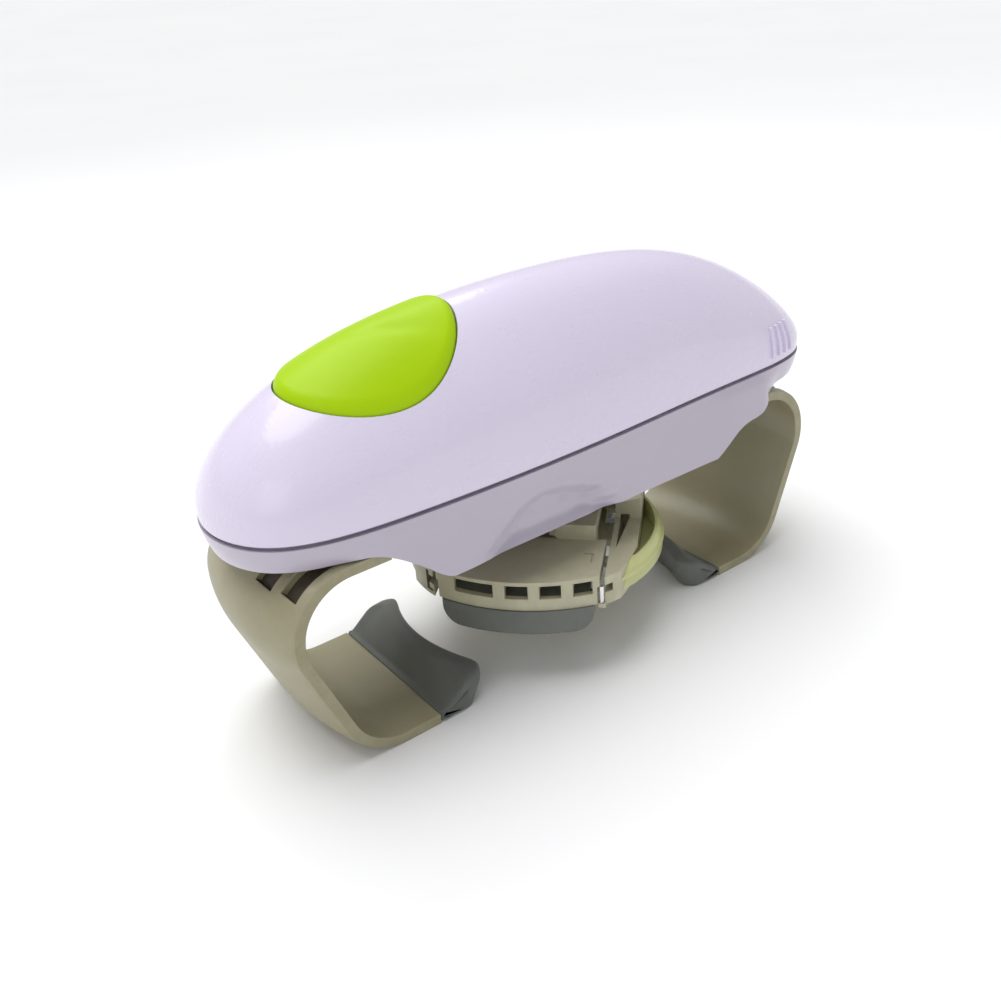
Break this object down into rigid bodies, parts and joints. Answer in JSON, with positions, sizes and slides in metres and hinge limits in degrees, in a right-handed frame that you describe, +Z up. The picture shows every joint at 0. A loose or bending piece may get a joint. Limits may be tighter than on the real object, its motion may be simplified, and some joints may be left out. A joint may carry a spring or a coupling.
{
  "type": "electric jar opener",
  "caption": "Battery-powered jar opener: egg-shaped body on two sliding C-shaped outer arms with rubber pads, and a turntable with sliding inner jaws that grip the lid.",
  "frame": {"origin": "on the surface the object stands on, below the middle of the body's bounding box", "axes": "+Z up, +X along the body from the start button toward the battery end, -Y the side seen from the front"},
  "size_m": [0.1986, 0.0776, 0.1055],
  "materials": {
    "shell_plastic": "smooth gloss",
    "lower_shell_plastic": "smooth gloss",
    "cover_plastic": "smooth gloss",
    "button_plastic": "satin",
    "arm_plastic": "satin",
    "jaw_plastic": "satin",
    "drum_plastic": "satin",
    "pad_rubber": "matte",
    "inner_plastic": "matte",
    "gear_plastic": "matte",
    "dark_plastic": "matte",
    "board": "semi-gloss",
    "steel": "bright",
    "zinc": "satin",
    "brass": "satin",
    "bearing_plastic": "waxy",
    "cell_sleeve": "gloss",
    "magnet": "matte"
  },
  "bodies": {
    "housing": {"upper_shell": "shell_plastic", "lower_shell": "lower_shell_plastic", "button_spring": "steel", "button_bridge": "inner_plastic", "micro_switch": "dark_plastic", "circuit_board": "board", "board_components": "dark_plastic", "board_screws": "zinc", "case_screws": "zinc", "motor_can": "zinc", "motor_end_cap": "inner_plastic", "motor_terminals": "brass", "motor_magnets": "magnet", "motor_bush": "brass", "motor_screws": "zinc", "gearbox_base": "inner_plastic", "gearbox_cover": "inner_plastic", "gearbox_screws": "zinc", "pillar_screws": "zinc", "gear_axles": "steel", "turntable_bush": "bearing_plastic", "battery_holder": "inner_plastic", "battery_inner": "cell_sleeve", "battery_outer": "cell_sleeve", "contact_plates": "steel", "contact_springs": "steel"},
    "cover": {"battery_cover": "cover_plastic"},
    "button": {"start_button": "button_plastic"},
    "plunger": {"switch_plunger": "gear_plastic"},
    "motor_spindle": {"motor_rotor": "steel", "motor_pinion": "brass"},
    "first_stage": {"first_gear": "gear_plastic"},
    "second_stage": {"second_gear": "gear_plastic"},
    "output": {"output_gear": "gear_plastic", "clutch_spring": "steel"},
    "outer_drive": {"outer_pinion": "gear_plastic", "clutch_plate": "steel"},
    "arm_left": {"left_arm": "arm_plastic", "left_arm_pad": "pad_rubber"},
    "arm_right": {"right_arm": "arm_plastic", "right_arm_pad": "pad_rubber"},
    "turntable": {"turntable_hub": "jaw_plastic", "hub_ring": "steel", "hub_screws": "zinc", "turntable_frame": "jaw_plastic", "turntable_base": "jaw_plastic", "drum_segment_front": "drum_plastic", "drum_segment_back": "drum_plastic", "guide_pins": "steel"},
    "inner_drive": {"drive_shaft": "steel", "inner_pinion": "gear_plastic", "shaft_clip": "steel"},
    "jaw_front": {"front_jaw": "jaw_plastic", "front_jaw_pad": "pad_rubber"},
    "jaw_back": {"back_jaw": "jaw_plastic", "back_jaw_pad": "pad_rubber"}
  },
  "joints": [
    {"name": "motor_spin", "type": "hinge", "parent": "housing", "child": "motor_spindle", "pos_m": [-0.0092, 0, 0.0743], "axis": [0, 0, 1], "continuous": true},
    {"name": "first_gear_spin", "type": "hinge", "parent": "housing", "child": "first_stage", "pos_m": [-0.0208, 0.00307, 0.0693], "axis": [0, 0, 1], "continuous": true},
    {"name": "second_gear_spin", "type": "hinge", "parent": "housing", "child": "second_stage", "pos_m": [-0.01867, -0.00995, 0.0673], "axis": [0, 0, 1], "continuous": true},
    {"name": "output_gear_spin", "type": "hinge", "parent": "housing", "child": "output", "pos_m": [-0.0032, 0, 0.0653], "axis": [0, 0, 1], "continuous": true},
    {"name": "left_arm_slide", "type": "slide", "parent": "housing", "child": "arm_left", "axis": [-1, 0, 0], "range_m": [-0.02, 0.014]},
    {"name": "right_arm_slide", "type": "slide", "parent": "housing", "child": "arm_right", "axis": [1, 0, 0], "range_m": [-0.02, 0.014]},
    {"name": "outer_pinion_spin", "type": "hinge", "parent": "housing", "child": "outer_drive", "pos_m": [-0.0032, 0, 0.0553], "axis": [0, 0, 1], "range_deg": [-115.5, 81]},
    {"name": "turntable_spin", "type": "hinge", "parent": "housing", "child": "turntable", "pos_m": [-0.0032, 0, 0.0343], "axis": [0, 0, 1], "continuous": true},
    {"name": "front_jaw_slide", "type": "slide", "parent": "turntable", "child": "jaw_front", "axis": [-0.7431, -0.6691, 0], "range_m": [-0.008, 0.012]},
    {"name": "back_jaw_slide", "type": "slide", "parent": "turntable", "child": "jaw_back", "axis": [0.7431, 0.6691, 0], "range_m": [-0.008, 0.012]},
    {"name": "inner_pinion_spin", "type": "hinge", "parent": "turntable", "child": "inner_drive", "pos_m": [-0.0032, 0, 0.0353], "axis": [0, 0, 1], "range_deg": [-99, 66]},
    {"name": "start_button_press", "type": "slide", "parent": "housing", "child": "button", "axis": [0, 0, -1], "range_m": [0, 0.0016], "stiffness_N_per_m": 800, "springref_m": -0.002, "deforming": ["button_spring"]},
    {"name": "switch_plunger_press", "type": "slide", "parent": "housing", "child": "plunger", "axis": [0, 0, -1], "range_m": [0, 0.0016]},
    {"name": "battery_cover_slide", "type": "slide", "parent": "housing", "child": "cover", "axis": [0, 1, 0], "range_m": [0, 0.03]}
  ],
  "couplings": [
    {"joint": "first_gear_spin", "follows": "motor_spin", "ratio": -0.33333},
    {"joint": "second_gear_spin", "follows": "motor_spin", "ratio": 0.125},
    {"joint": "output_gear_spin", "follows": "motor_spin", "ratio": -0.044118},
    {"joint": "right_arm_slide", "follows": "left_arm_slide", "ratio": 1},
    {"joint": "outer_pinion_spin", "follows": "left_arm_slide", "rad_per_m": 100},
    {"joint": "back_jaw_slide", "follows": "front_jaw_slide", "ratio": 1},
    {"joint": "inner_pinion_spin", "follows": "front_jaw_slide", "rad_per_m": -142.86},
    {"joint": "switch_plunger_press", "follows": "start_button_press", "ratio": 1}
  ]
}
